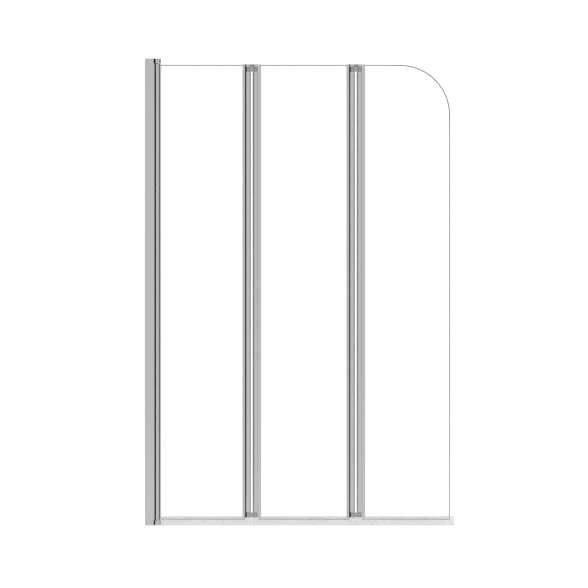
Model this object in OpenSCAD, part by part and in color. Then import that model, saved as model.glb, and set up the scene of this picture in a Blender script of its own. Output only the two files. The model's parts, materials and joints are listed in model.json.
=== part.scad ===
// Three-panel folding bath screen: a wall post, three clear glass panels and two
// double-pivot joints that let the panels fold against each other like a concertina.
// X runs out from the wall face (x = 0), Z runs up from the bath rim, and Y is the
// depth, with the bath on the +Y side.

/* [Screen] */
// Height of the wall post
post_h = 1400; // [1200:10:1600]
// From the wall hinge to the first axis of joint 1
panel_1_pitch = 271.9; // [180:0.1:400]
// From the second axis of joint 1 to the first axis of joint 2
panel_2_pitch = 289.3; // [180:0.1:400]
// From the second axis of joint 2 to the free edge of the last glass
panel_3_reach = 271.3; // [220:0.1:400]
// Distance between the two axes of a joint
link_pitch = 23.1; // [22:0.1:30]

/* [Glass] */
// Thickness of the glass
glass_t = 5; // [4:0.5:6]
// How far the glass stands above the foot of the hinge bar
glass_lift = 0; // [0:0.5:5]
// How far the top edge of the glass lies below the top of the hinge bar
glass_short = 3.4; // [0:0.1:20]
// Radius of the free upper corner
corner_r = 150; // [10:5:200]

/* [Wall post] */
// Depth of the post, out from the wall
post_d = 28; // [26:0.5:36]
// Thickness of the post, front to back
post_t = 22; // [20:0.5:22]
// Wall of the post's two flanges
post_wall = 1.6; // [1.2:0.1:2]
// Shadow gap left between the wall and the post
post_gap = 0.5; // [0.2:0.1:1.5]
// Depth of the post's mouth, which holds the wipers and the feet of the pivot blocks
mouth_d = 5.9; // [5:0.1:7]
// Thickness of the cross web behind the mouth
web_t = 1.6; // [1.2:0.1:2]
// Space for screw heads between the wall channel and the cross web
channel_room = 2.5; // [2:0.1:5]
// Wall of the channel's two flanges
channel_wall = 1.8; // [1.4:0.1:2.4]
// Thickness of the channel's back, against the wall
channel_back = 2; // [1.5:0.1:3]
// Radius of the holes for the wall screws
wall_hole_r = 2.75; // [2:0.05:3.5]
// From each end of the post to its nearest wall screw
wall_hole_end = 100; // [60:5:200]
// Distance between the two middle wall screws
wall_hole_mid = 400; // [200:10:600]
// Thickness of the post's top cover
top_cover_t = 2.5; // [1.5:0.5:4]
// Length of the wiper's root inside the mouth
wiper_root = 3.4; // [2:0.1:4]
// Thickness of the wiper's root
wiper_t = 1.2; // [0.8:0.1:1.4]
// Thickness of the wiper where it leaves the mouth
wiper_lip = 2.6; // [2:0.1:2.8]
// Thickness of the wiper's tip
wiper_tip = 1.8; // [1:0.1:2]

/* [Side screws] */
// Number of screws that hold the post on its channel
side_screw_count = 3; // [2:1:5]
// From each end of the post to its nearest side screw
side_screw_end = 150; // [60:10:300]
// From the wall to the side screws
side_screw_x = 9.5; // [8:0.5:12]
// Shaft radius of a side screw
side_screw_r = 1.9; // [1.5:0.1:2.2]
// Length of a side screw's shaft
side_screw_l = 7; // [5:0.5:8]
// Head radius of a side screw
side_head_r = 3.6; // [3:0.1:4.2]
// Head height of a side screw
side_head_h = 2; // [1.5:0.1:2.5]
// Radius of a side screw's cover
screw_cover_r = 5.5; // [5.2:0.1:7]
// Wall of a side screw's cover
screw_cover_wall = 0.8; // [0.5:0.1:0.9]

/* [Wall hinge] */
// From the front of the post to the axis of the wall hinge
hinge_offset = 8.5; // [7.5:0.1:12]
// Radius of a pivot block's round head
block_r = 10.85; // [10:0.05:11]
// Height of a pivot block
block_h = 14.4; // [12:0.1:20]
// Half width of the neck that joins head and foot
block_neck = 5.5; // [4.5:0.5:7]
// Thickness of the block's foot, against the cross web
block_foot = 3; // [2:0.1:3.2]
// Solid end left beyond a pin's socket in a block
block_floor = 2.5; // [1.5:0.1:4]
// Shaft radius of the screw that holds a pivot block
block_screw_r = 2; // [1.5:0.1:2.5]
// Length of that screw's shaft
block_screw_l = 9; // [7:0.5:10]
// Head radius of that screw
block_head_r = 3.4; // [3:0.1:4]
// Head height of that screw
block_head_h = 1.8; // [1.2:0.1:2]
// How far the hinge bar's lips reach from the axis
bar_reach = 10.8; // [10:0.1:13]
// From the axis to the bottom of the hinge bar's glass slot
bar_slot = 5.5; // [5.3:0.1:6]
// From the axis to the rubber bead of the hinge bar
bar_bead = 4.8; // [4:0.1:5.5]

/* [Joints] */
// Radius of the round nose of the hinge bar and the joint tubes
nose_r = 9; // [8.5:0.1:9.2]
// How far a joint tube's lips reach from the axis
lip_reach = 16.5; // [14:0.1:22]
// Thickness of the lips on each side of the slot
lip_t = 1.5; // [1:0.1:1.7]
// Wall between a joint tube's notch and its glass slot
clamp_web_t = 1.4; // [1:0.1:2.5]
// From the axis to a joint tube's rubber bead
bead_x = 6.1; // [6:0.1:6.3]
// Width of a rubber bead
bead_w = 2.8; // [2:0.1:4]
// How far the joint tubes stand above the glass
tube_over = 1.9; // [0:0.1:6]
// How far the joint tubes end above the lower edge of the glass
tube_lift = 7.8; // [4:0.1:12]
// Height of a joint's top caps
cap_h = 7.7; // [5:0.1:12]
// Solid top left above a pin in its cap
cap_roof = 2; // [1:0.1:3]
// Gap between the two caps of a joint
cap_gap = 0.7; // [0.5:0.1:1]
// Height of a joint's links
link_h = 14.6; // [8:0.1:25]
// Radius of a link's eyes
link_r = 6; // [5.8:0.1:6.2]
// Room between a link's eye and the tube that it turns in
link_room = 0.6; // [0.4:0.1:1]
// Half thickness of a link's waist
link_waist = 3.6; // [3.5:0.1:5.5]

/* [Pins and bushes] */
// Radius of the hinge pins
pin_r = 2.5; // [2:0.1:2.8]
// Length of pin inside a bush and beyond it
pin_grip = 18; // [16:1:30]
// Radius of a lower pin's head
pin_head_r = 4.5; // [4:0.1:4.8]
// Height of a lower pin's head
pin_head_h = 1.8; // [1:0.1:2.5]
// Outer radius of the nylon bushes
bush_r = 4; // [3.7:0.1:4.3]
// Length of a bush inside its bore
bush_l = 15; // [10:1:25]
// Radius of a bush's flange
bush_flange_r = 5.8; // [5:0.1:6]
// Thickness of a bush's flange
bush_flange_t = 0.8; // [0.5:0.1:1.5]

/* [Rubber and seals] */
// Rubber on each side of the glass in its slot
gasket_t = 1; // [0.6:0.1:1.4]
// Rubber between the glass edge and the bottom of the slot
gasket_base = 0.8; // [0.5:0.1:1]
// How far the gasket stays back from the end of the lips
gasket_back = 0.3; // [0:0.1:1]
// How far the bottom seal grips up the glass
seal_grip = 10.2; // [8.2:0.1:20]
// Wall of the seal's two legs
seal_leg = 1.2; // [0.8:0.1:1.6]
// Thickness of the seal's bridge below the glass
seal_bridge = 1.6; // [1:0.1:2.5]
// How far the seal's fins hang below the foot of the post, to be pressed on the bath rim
seal_below = 1.5; // [0:0.1:3]
// Half spread of the fins at their lowest edge
fin_spread = 4.5; // [4:0.1:6]
// Thickness of a fin
fin_t = 1; // [0.6:0.1:1.2]
// How far the last seal runs on past the free edge of the glass
seal_overhang = 11.2; // [0:0.1:20]

/* [Clearances] */
// Radial play of a pin in its bush, link or block
run_clear = 0.05; // [0.02:0.01:0.1]
// Gap between faces that slide or turn past each other
gap = 0.3; // [0.3:0.05:0.4]
// Play of pieces that slide into each other when they are assembled
slip = 0.2; // [0.1:0.05:0.25]

/* [Hidden] */
$fn = 96;

LEFT = -1;   // the glass lies on the wall side of the axis
RIGHT = 1;   // the glass lies on the free side of the axis

// Wall post
post_front = post_gap + post_d;
post_foot = post_front - mouth_d;      // front face of the cross web
post_web = post_foot - web_t;
post_half = post_t / 2;
cavity_half = post_half - post_wall;
channel_d = post_web - channel_room;
channel_half = cavity_half - slip;
channel_top = post_h - top_cover_t - gap;

// Axes, from the wall outwards
wall_axis = post_front + hinge_offset;
joint_1_left = wall_axis + panel_1_pitch;
joint_1_right = joint_1_left + link_pitch;
joint_2_left = joint_1_right + panel_2_pitch;
joint_2_right = joint_2_left + link_pitch;
free_edge = joint_2_right + panel_3_reach;

// Section sizes
slot_half = glass_t / 2 + gasket_t;
clamp_half = slot_half + lip_t;
clamp_web = link_r + link_room;        // the clamp starts here, clear of the link's eye
slot_x = clamp_web + clamp_web_t;
bore_r = bush_r + run_clear;
pin_bore_r = pin_r + run_clear;
glass_inset = slot_x + gasket_base;
cap_r = (link_pitch - cap_gap) / 2;
seal_end_r = (link_pitch - gap) / 2;

// Heights
bar_z = block_h + gap + bush_flange_t;
bar_top = post_h - bar_z;
glass_z = bar_z + glass_lift;
glass_top = bar_top - glass_short;
tube_z = glass_z + tube_lift;
tube_top = glass_top + tube_over;
nose_z = tube_z + link_h + gap + bush_flange_t;
cap_z = tube_top - cap_h;
top_link_z = cap_z - gap - link_h;
nose_top = top_link_z - gap - bush_flange_t;
seal_top = glass_z + seal_grip;

module bar(z0, z1) {
    translate([0, 0, z0])
        linear_extrude(height = z1 - z0)
            children();
}

module box(x0, x1, half_y, z0, z1) {
    translate([x0, -half_y, z0])
        cube([x1 - x0, 2 * half_y, z1 - z0]);
}

module both_sides() {
    children();
    mirror([0, 1, 0])
        children();
}

// Places a piece that is drawn about its axis, with the glass towards +X
module at_axis(x, side) {
    translate([x, 0, 0])
        if (side == LEFT)
            mirror([1, 0, 0])
                children();
        else
            children();
}

// ---- Wall side ----

module wall_channel() {
    color("silver")
        difference() {
            box(0, channel_d, channel_half, 0, channel_top);
            box(channel_back, channel_d + 1, channel_half - channel_wall, -1, post_h);
            for (z = wall_holes())
                translate([-1, 0, z])
                    rotate([0, 90, 0])
                        cylinder(h = channel_back + 2, r = wall_hole_r);
            for (z = side_screw_heights())
                side_hole(z, side_screw_r + run_clear, channel_half - channel_wall - 1);
        }
}

function wall_holes() = [
    wall_hole_end,
    (post_h - wall_hole_mid) / 2,
    (post_h + wall_hole_mid) / 2,
    post_h - wall_hole_end
];

function side_screw_heights() = [
    for (i = [0 : side_screw_count - 1])
        side_screw_end + i * (post_h - 2 * side_screw_end) / (side_screw_count - 1)
];

module side_hole(z, r, y0) {
    translate([side_screw_x, y0, z])
        rotate([-90, 0, 0])
            cylinder(h = post_half + 1 - y0, r = r);
}

module post_profile() {
    color("silver")
        difference() {
            box(post_gap, post_front, post_half, 0, post_h);
            box(post_gap - 1, post_web, cavity_half, -1, post_h + 1);
            box(post_foot, post_front + 1, cavity_half, -1, post_h + 1);
            for (z = [-1, post_h - block_h - gap])
                box(wall_axis - block_r - slip, post_front + 1, post_half + 1, z, z + block_h + gap + 1);
            for (z = block_middles())
                translate([post_web - 1, 0, z])
                    rotate([0, 90, 0])
                        cylinder(h = web_t + 2, r = block_screw_r + slip);
            for (z = side_screw_heights())
                side_hole(z, side_screw_r + slip, cavity_half - 1);
        }
}

function block_middles() = [block_h / 2, post_h - block_h / 2];

module post_top_cover() {
    color("silver")
        box(post_gap, post_web - slip, cavity_half - slip, post_h - top_cover_t, post_h);
}

// Each wiper leans on the nose of the hinge bar and stays clear of its lips when they turn
module post_wipers() {
    root_y = cavity_half - wiper_t;
    tip_off = clamp_half + 1.4 * gap;
    tip_x = wall_axis - tip_off;
    tip_y = sqrt(pow(nose_r + gap, 2) - pow(tip_off, 2));
    color([0.06, 0.06, 0.06])
        bar(block_h + 2 * gap, post_h - block_h - 2 * gap)
            both_sides()
                polygon([
                    [post_front - wiper_root, cavity_half],
                    [post_front - wiper_root, root_y],
                    [post_front, root_y],
                    [tip_x, tip_y],
                    [tip_x, tip_y + wiper_tip],
                    [post_front, root_y + wiper_lip],
                    [post_front, cavity_half]
                ]);
}

module post_side_screws() {
    color("gainsboro")
        for (z = side_screw_heights())
            translate([side_screw_x, post_half, z])
                rotate([-90, 0, 0]) {
                    translate([0, 0, -side_screw_l])
                        cylinder(h = side_screw_l, r = side_screw_r);
                    cylinder(h = side_head_h, r = side_head_r);
                }
}

module side_screw_covers() {
    inner_h = side_head_h + gap;
    color("silver")
        for (z = side_screw_heights())
            translate([side_screw_x, post_half, z])
                rotate([-90, 0, 0])
                    difference() {
                        cylinder(h = inner_h + screw_cover_wall, r = screw_cover_r);
                        translate([0, 0, -1])
                            cylinder(h = inner_h + 1, r = screw_cover_r - screw_cover_wall);
                    }
}

// ---- Wall hinge ----

// A block at the bottom of the post: round head about the axis, neck, and foot in the post
module pivot_block() {
    color("silver")
        difference() {
            union() {
                translate([wall_axis, 0, 0])
                    cylinder(h = block_h, r = block_r);
                box(post_foot, wall_axis, block_neck, 0, block_h);
                box(post_foot, post_foot + block_foot, cavity_half - slip, 0, block_h);
            }
            translate([wall_axis, 0, block_floor])
                cylinder(h = block_h, r = pin_bore_r);
            translate([post_web, 0, block_h / 2])
                rotate([0, 90, 0])
                    cylinder(h = block_screw_l + gap, r = block_screw_r + run_clear);
        }
}

module at_post_top() {
    translate([0, 0, post_h])
        mirror([0, 0, 1])
            children();
}

module wall_pin() {
    color("gainsboro")
        translate([wall_axis, 0, block_floor])
            cylinder(h = block_h - block_floor + gap + pin_grip, r = pin_r);
}

module bottom_pivot_block() {
    pivot_block();
}

module top_pivot_block() {
    at_post_top()
        pivot_block();
}

module bottom_wall_pin() {
    wall_pin();
}

module top_wall_pin() {
    at_post_top()
        wall_pin();
}

module pivot_block_screws() {
    color("gainsboro")
        for (z = block_middles())
            translate([post_web, 0, z])
                rotate([0, 90, 0]) {
                    cylinder(h = block_screw_l, r = block_screw_r);
                    translate([0, 0, -block_head_h])
                        cylinder(h = block_head_h, r = block_head_r);
                }
}

// ---- Sections that carry the glass, drawn about the axis with the glass towards +X ----

// Round nose, cut flat beside the lips to leave a groove
module nose_section(groove_x) {
    difference() {
        circle(r = nose_r);
        translate([groove_x, -nose_r])
            square([nose_r, 2 * nose_r]);
    }
}

module slot_section(slot, reach) {
    translate([slot, -slot_half])
        square([reach - slot + 1, 2 * slot_half]);
}

module clamp_section(start, reach) {
    translate([start, -clamp_half])
        square([reach - start, 2 * clamp_half]);
}

module gasket_section(slot, reach) {
    difference() {
        translate([slot, -slot_half])
            square([reach - slot - gasket_back, 2 * slot_half]);
        translate([slot + gasket_base, -glass_t / 2])
            square([reach, glass_t]);
    }
}

// A bead of rubber in the groove, level with the nose where the two meet
module bead_section(groove_x, width) {
    bead_top = sqrt(nose_r * nose_r - groove_x * groove_x);
    translate([groove_x, clamp_half])
        square([width, bead_top - clamp_half]);
}

// A bush at the lower end of a bore, its flange below the end face at z
module bush(z) {
    difference() {
        union() {
            translate([0, 0, z])
                cylinder(h = bush_l, r = bush_r);
            translate([0, 0, z - bush_flange_t])
                cylinder(h = bush_flange_t, r = bush_flange_r);
        }
        translate([0, 0, z - bush_flange_t - 1])
            cylinder(h = bush_l + bush_flange_t + 2, r = pin_bore_r);
    }
}

module bush_pair(x, z0, z1) {
    color("white")
        translate([x, 0, 0]) {
            bush(z0);
            translate([0, 0, z1])
                mirror([0, 0, 1])
                    bush(0);
        }
}

// ---- Panel 1 at the wall ----

module hinge_bar() {
    color("silver")
        translate([wall_axis, 0, 0])
            bar(bar_z, bar_top)
                difference() {
                    union() {
                        nose_section(bar_bead);
                        clamp_section(0, bar_reach);
                    }
                    circle(r = bore_r);
                    slot_section(bar_slot, bar_reach);
                }
}

module hinge_bar_bushes() {
    bush_pair(wall_axis, bar_z, bar_top);
}

module hinge_bar_gasket() {
    color("dimgray")
        translate([wall_axis, 0, 0])
            bar(glass_z, glass_top)
                gasket_section(bar_slot, bar_reach);
}

module hinge_bar_beads() {
    color([0.06, 0.06, 0.06])
        translate([wall_axis, 0, 0])
            bar(bar_z, bar_top)
                both_sides()
                    intersection() {
                        bead_section(bar_bead, bead_w);
                        circle(r = nose_r);
                    }
}

// ---- Joints ----

module joint_tube(x, side) {
    color("silver")
        at_axis(x, side)
            difference() {
                union() {
                    bar(nose_z, nose_top) {
                        nose_section(bead_x);
                        clamp_section(0, clamp_web + 1);
                    }
                    bar(tube_z, tube_top)
                        clamp_section(clamp_web, lip_reach);
                }
                bar(nose_z - 1, nose_top + 1)
                    circle(r = bore_r);
                bar(tube_z - 1, tube_top + 1)
                    slot_section(slot_x, lip_reach);
            }
}

module joint_gasket(x, side) {
    color("dimgray")
        at_axis(x, side)
            bar(tube_z, min(tube_top, glass_top))
                gasket_section(slot_x, lip_reach);
}

module joint_beads(x) {
    color([0.06, 0.06, 0.06])
        at_axis(x, LEFT)
            bar(tube_z, tube_top)
                both_sides()
                    bead_section(bead_x, bead_w);
}

// The cap is round about its axis and cut flat where it meets the clamp
module joint_cap(x, side) {
    color("silver")
        at_axis(x, side)
            difference() {
                translate([0, 0, cap_z])
                    cylinder(h = cap_h, r = cap_r);
                box(bead_x, cap_r + 1, cap_r + 1, cap_z - 1, tube_top + 1);
                translate([0, 0, cap_z - 1])
                    cylinder(h = cap_h - cap_roof + 1, r = pin_bore_r);
            }
}

// The upper pin ends inside the cap, and the lower one has a head under the link
module joint_pins(x) {
    upper_end = tube_top - cap_roof - gap;
    lower_head = tube_z + slip;
    color("gainsboro")
        translate([x, 0, 0]) {
            bar(nose_top - pin_grip, upper_end)
                circle(r = pin_r);
            bar(lower_head, lower_head + pin_head_h)
                circle(r = pin_head_r);
            bar(lower_head, nose_z + pin_grip)
                circle(r = pin_r);
        }
}

// Two eyes and a narrower waist
module link_body(x, z) {
    translate([x, 0, z])
        difference() {
            union() {
                for (eye = [0, link_pitch])
                    translate([eye, 0, 0])
                        cylinder(h = link_h, r = link_r);
                box(0, link_pitch, link_waist, 0, link_h);
            }
            for (eye = [0, link_pitch])
                translate([eye, 0, -1])
                    cylinder(h = link_h + 2, r = pin_bore_r);
        }
}

module top_link(x) {
    color("darkgray")
        link_body(x, top_link_z);
}

// The lower link is counterbored for the heads of its pins
module bottom_link(x) {
    sink = slip + pin_head_h + gap;
    color("darkgray")
        difference() {
            link_body(x, tube_z);
            for (eye = [0, link_pitch])
                translate([x + eye, 0, tube_z - 1])
                    cylinder(h = sink + 1, r = pin_head_r + gap);
        }
}

module joint_1_left_tube() { joint_tube(joint_1_left, LEFT); }
module joint_1_left_bushes() { bush_pair(joint_1_left, nose_z, nose_top); }
module joint_1_left_pins() { joint_pins(joint_1_left); }
module joint_1_left_cap() { joint_cap(joint_1_left, LEFT); }
module joint_1_left_gasket() { joint_gasket(joint_1_left, LEFT); }
module joint_1_beads() { joint_beads(joint_1_left); }
module joint_1_top_link() { top_link(joint_1_left); }
module joint_1_bottom_link() { bottom_link(joint_1_left); }
module joint_1_right_tube() { joint_tube(joint_1_right, RIGHT); }
module joint_1_right_bushes() { bush_pair(joint_1_right, nose_z, nose_top); }
module joint_1_right_pins() { joint_pins(joint_1_right); }
module joint_1_right_cap() { joint_cap(joint_1_right, RIGHT); }
module joint_1_right_gasket() { joint_gasket(joint_1_right, RIGHT); }

module joint_2_left_tube() { joint_tube(joint_2_left, LEFT); }
module joint_2_left_bushes() { bush_pair(joint_2_left, nose_z, nose_top); }
module joint_2_left_pins() { joint_pins(joint_2_left); }
module joint_2_left_cap() { joint_cap(joint_2_left, LEFT); }
module joint_2_left_gasket() { joint_gasket(joint_2_left, LEFT); }
module joint_2_beads() { joint_beads(joint_2_left); }
module joint_2_top_link() { top_link(joint_2_left); }
module joint_2_bottom_link() { bottom_link(joint_2_left); }
module joint_2_right_tube() { joint_tube(joint_2_right, RIGHT); }
module joint_2_right_bushes() { bush_pair(joint_2_right, nose_z, nose_top); }
module joint_2_right_pins() { joint_pins(joint_2_right); }
module joint_2_right_cap() { joint_cap(joint_2_right, RIGHT); }
module joint_2_right_gasket() { joint_gasket(joint_2_right, RIGHT); }

// ---- Glass ----

module glass_pane(x0, x1) {
    color([0.8, 0.92, 0.9, 0.35])
        box(x0, x1, glass_t / 2, glass_z, glass_top);
}

module glass_1() {
    glass_pane(wall_axis + bar_slot + gasket_base, joint_1_left - glass_inset);
}

module glass_2() {
    glass_pane(joint_1_right + glass_inset, joint_2_left - glass_inset);
}

module glass_3() {
    x0 = joint_2_right + glass_inset;
    w = free_edge - x0;
    h = glass_top - glass_z;
    color([0.8, 0.92, 0.9, 0.35])
        translate([x0, glass_t / 2, glass_z])
            rotate([90, 0, 0])
                linear_extrude(height = glass_t)
                    difference() {
                        square([w, h]);
                        translate([w - corner_r, h - corner_r])
                            corner_waste();
                    }
}

// What is ground off the square corner of the last pane
module corner_waste() {
    difference() {
        square([corner_r + 1, corner_r + 1]);
        circle(r = corner_r, $fn = 180);
    }
}

// ---- Bottom seals ----

// Two legs that grip the glass, a bridge below it and two fins, drawn as [y, z]
module seal_section() {
    leg_half = glass_t / 2 + seal_leg;
    bridge_z = glass_z - seal_bridge;
    half = [
        [glass_t / 2, glass_z],
        [glass_t / 2, seal_top],
        [leg_half, seal_top],
        [leg_half, bridge_z],
        [fin_spread, -seal_below],
        [fin_spread - fin_t, -seal_below],
        [leg_half - fin_t, bridge_z]
    ];
    other_half = [for (i = [len(half) - 1 : -1 : 0]) [-half[i][0], half[i][1]]];
    polygon(concat(half, other_half));
}

module seal_length(x0, x1) {
    translate([x0, 0, 0])
        rotate([90, 0, 90])
            linear_extrude(height = x1 - x0)
                seal_section();
}

// Leaves room for the joint above the seal, from the lips of the tube to the seal's end
module joint_room(axis, side) {
    at_axis(axis, side)
        box(-cap_r - 1, lip_reach + gap, nose_r, tube_z - gap, seal_top + 1);
}

// The end of a seal is round about the axis of its joint
module seal_end(axis, side) {
    at_axis(axis, side)
        difference() {
            box(-2 * seal_end_r, 0, nose_r, -seal_below - 1, seal_top + 1);
            translate([0, 0, -seal_below - 2])
                cylinder(h = seal_top + seal_below + 4, r = seal_end_r);
        }
}

module bottom_seal_1() {
    color([0.88, 0.89, 0.9])
        difference() {
            seal_length(wall_axis + max(bar_reach, block_r) + 2 * gap, joint_1_left + cap_r + 1);
            joint_room(joint_1_left, LEFT);
            seal_end(joint_1_left, LEFT);
        }
}

module bottom_seal_2() {
    color([0.88, 0.89, 0.9])
        difference() {
            seal_length(joint_1_right - cap_r - 1, joint_2_left + cap_r + 1);
            joint_room(joint_1_right, RIGHT);
            seal_end(joint_1_right, RIGHT);
            joint_room(joint_2_left, LEFT);
            seal_end(joint_2_left, LEFT);
        }
}

module bottom_seal_3() {
    color([0.88, 0.89, 0.9])
        difference() {
            seal_length(joint_2_right - cap_r - 1, free_edge + seal_overhang);
            joint_room(joint_2_right, RIGHT);
            seal_end(joint_2_right, RIGHT);
        }
}

wall_channel();
post_profile();
post_top_cover();
post_wipers();
post_side_screws();
side_screw_covers();
top_pivot_block();
bottom_pivot_block();
pivot_block_screws();
top_wall_pin();
bottom_wall_pin();
hinge_bar();
hinge_bar_bushes();
hinge_bar_gasket();
hinge_bar_beads();
glass_1();
bottom_seal_1();
joint_1_left_tube();
joint_1_left_bushes();
joint_1_left_pins();
joint_1_left_cap();
joint_1_left_gasket();
joint_1_beads();
joint_1_top_link();
joint_1_bottom_link();
joint_1_right_tube();
joint_1_right_bushes();
joint_1_right_pins();
joint_1_right_cap();
joint_1_right_gasket();
glass_2();
bottom_seal_2();
joint_2_left_tube();
joint_2_left_bushes();
joint_2_left_pins();
joint_2_left_cap();
joint_2_left_gasket();
joint_2_beads();
joint_2_top_link();
joint_2_bottom_link();
joint_2_right_tube();
joint_2_right_bushes();
joint_2_right_pins();
joint_2_right_cap();
joint_2_right_gasket();
glass_3();
bottom_seal_3();
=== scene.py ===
# Looks of the folding bath screen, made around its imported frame.
# X runs out from the wall, Y into the bath and Z up from the rim. Sizes here are in millimetres,
# and meshes are in metres.
import json
import math

import bpy
from mathutils import Matrix, Vector
from mathutils.geometry import delaunay_2d_cdt

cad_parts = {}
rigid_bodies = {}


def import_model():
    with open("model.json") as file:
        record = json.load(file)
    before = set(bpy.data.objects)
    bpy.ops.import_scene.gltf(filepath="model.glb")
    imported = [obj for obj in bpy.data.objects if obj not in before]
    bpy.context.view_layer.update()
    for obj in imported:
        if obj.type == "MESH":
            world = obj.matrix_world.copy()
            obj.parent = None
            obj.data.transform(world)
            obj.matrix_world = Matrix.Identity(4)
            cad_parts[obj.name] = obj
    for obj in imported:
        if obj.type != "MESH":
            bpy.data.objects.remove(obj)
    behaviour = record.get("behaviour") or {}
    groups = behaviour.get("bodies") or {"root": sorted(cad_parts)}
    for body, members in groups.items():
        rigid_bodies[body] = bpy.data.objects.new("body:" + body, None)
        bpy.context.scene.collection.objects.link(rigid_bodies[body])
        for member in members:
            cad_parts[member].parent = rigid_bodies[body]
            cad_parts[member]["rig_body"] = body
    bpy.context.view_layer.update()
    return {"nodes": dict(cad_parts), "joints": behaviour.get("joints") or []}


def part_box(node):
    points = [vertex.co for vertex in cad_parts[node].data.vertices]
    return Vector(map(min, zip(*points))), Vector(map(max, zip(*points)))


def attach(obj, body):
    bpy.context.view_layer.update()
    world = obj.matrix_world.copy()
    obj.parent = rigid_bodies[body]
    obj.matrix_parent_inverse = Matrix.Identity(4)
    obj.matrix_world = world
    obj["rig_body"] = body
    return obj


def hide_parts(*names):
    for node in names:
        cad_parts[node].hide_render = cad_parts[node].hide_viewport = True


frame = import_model()

MM = 0.001

# ---- Sizes taken from the frame ----


def span(node):
    """Lowest and highest X, Y and Z of a CAD node, in millimetres"""
    low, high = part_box(node)
    return [(low[i] / MM, high[i] / MM) for i in range(3)]


AXIS = {joint["name"]: joint["pos_m"][0] / MM for joint in frame["joints"]}
WALL_AXIS = AXIS["wall_hinge"]
POST_X, POST_Y, POST_Z = span("post_profile")
POST_TOP = POST_Z[1]
BAR_Z = span("hinge_bar")[2]
TUBE_Z = span("joint_1_left_tube")[2]
GLASS_Z = span("glass_1")[2]
CAP_Z = span("joint_1_left_cap")[2]
TOP_LINK_Z = span("joint_1_top_link")[2]
LOW_LINK_Z = span("joint_1_bottom_link")[2]

# ---- Sizes of the sections, about their own axes ----

NOSE_R = 9.0            # round nose of the hinge bar and the joint tubes
SLOT_HALF = 3.5         # half width of a glass slot
LIP_HALF = 5.0          # half width across the two lips
BORE_R = 4.05           # bore for the bushes
BAR_GROOVE = 4.8        # from the axis to the bead groove of the hinge bar
BAR_SLOT = 5.5          # from the axis to the bottom of the hinge bar's slot
BAR_REACH = 10.8        # from the axis to the ends of the hinge bar's lips
TUBE_GROOVE = 6.1       # the same three of a joint tube
TUBE_SLOT = 8.0
TUBE_REACH = 16.5
TUBE_NOTCH = 6.6        # where a joint tube is cut back above and below its nose
BEAD_W = 2.8            # bead of a joint tube
RUBBER_BASE = 0.8       # rubber between the glass edge and the slot
RUBBER_BACK = 0.3       # how far the rubber stays back from the lips' ends
GLASS_HALF = 2.5
PENCIL_R = 2.1          # rounding ground along every edge of the glass
PANE_CORNER = 1.2       # blunted square corners of a pane
CORNER_R = 150.0        # free upper corner of the last glass
CORNER_WIDER = 0.26     # how much wider the edge is ground round that corner
CORNER_RUN = 60.0       # length of straight edge over which this runs out
SEAL_LEG = 1.2          # legs of the seal, beside the glass
SEAL_GRIP = 10.2        # how far they reach up the glass
SEAL_BRIDGE = 1.6       # bridge under the glass
FIN_FOOT = (3.5, 4.5)   # foot of a fin, from the middle plane
POST_WALL = 1.6
WEB_X = (21.0, 22.6)    # cross web of the post
CHANNEL_BACK = 2.0
CHANNEL_WALL = 1.8
BLOCK_R = 10.85         # round head of a pivot block
BLOCK_NECK = 5.5        # half width of its neck
BLOCK_FOOT = 3.0        # its foot in the post
BLOCK_ROOM = 0.2        # room between it and the post
BLOCK_FLOOR = 2.5       # metal under a wall pin
CAP_R = 11.2
CAP_TOP = 2.0           # metal over its pin
LINK_R = 6.0            # eyes of a link
LINK_WAIST = 3.6        # half width between them
LINK_PITCH = 23.1
COUNTERBORE_R = 4.8     # room for the head of a lower pin
COUNTERBORE_H = 2.3
PIN_R = 2.5
PIN_BORE_R = 2.55
PIN_GRIP = 18.0         # how far a pin reaches into its bar or tube
PIN_HEAD_R = 4.5
PIN_HEAD_H = 1.8
BUSH_R = 4.0
BUSH_H = 15.0
FLANGE_R = 5.8
FLANGE_T = 0.8
GAP = 0.3
SEAL_END_R = (LINK_PITCH - GAP) / 2

# ---- Holes and screws ----

SIDE_SCREW_X = 9.5
SIDE_SCREW_Z = (150.0, 700.0, 1250.0)
SIDE_HOLE_R = 2.1       # in the post
SIDE_PILOT_R = 1.95     # in the wall channel
SIDE_DRILL_Y = (8.0, 6.0)   # where the drilling of post and channel starts, inside their walls
SIDE_DRILL_L = 5.0
WALL_SCREW_Z = (100.0, 500.0, 900.0, 1300.0)
WALL_HOLE_R = 2.75
WEB_HOLE_R = 2.2        # in the post's web, for the screws of the pivot blocks
BLOCK_PILOT_R = 2.05
BLOCK_PILOT_L = 9.3     # from the back of the web
COVER_R = 5.5           # push-fit cover over a side screw's head
COVER_WALL = 0.8
COVER_ROOM = 2.3        # height inside it

# ---- Limits of the work ----

PAST = 1.0              # how far a cutter runs past the face that it cuts
CUTTER_HALF = 12.0      # half width of a cutter that takes all of a tube's nose
SEAL_HALF = 9.0         # and of one that takes all of a seal
ABOVE_SEAL = 12.0       # a height on the glass that clears the seal's legs
SEAL_WASTE = 20.0       # length of seal past an axis that is cut away
BEND = math.radians(25)     # a corner that turns less than this stays as it is
SHARP = math.radians(38)    # faces that meet at less than this are shaded as one
UPRIGHT = 0.35          # most that an upright face's normal may rise
ON_FLAT = 0.01          # how near to a flat face its middle lies
ON_ROUND = 0.05         # and how near to a round face's radius

# ---- Node work ----


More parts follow.
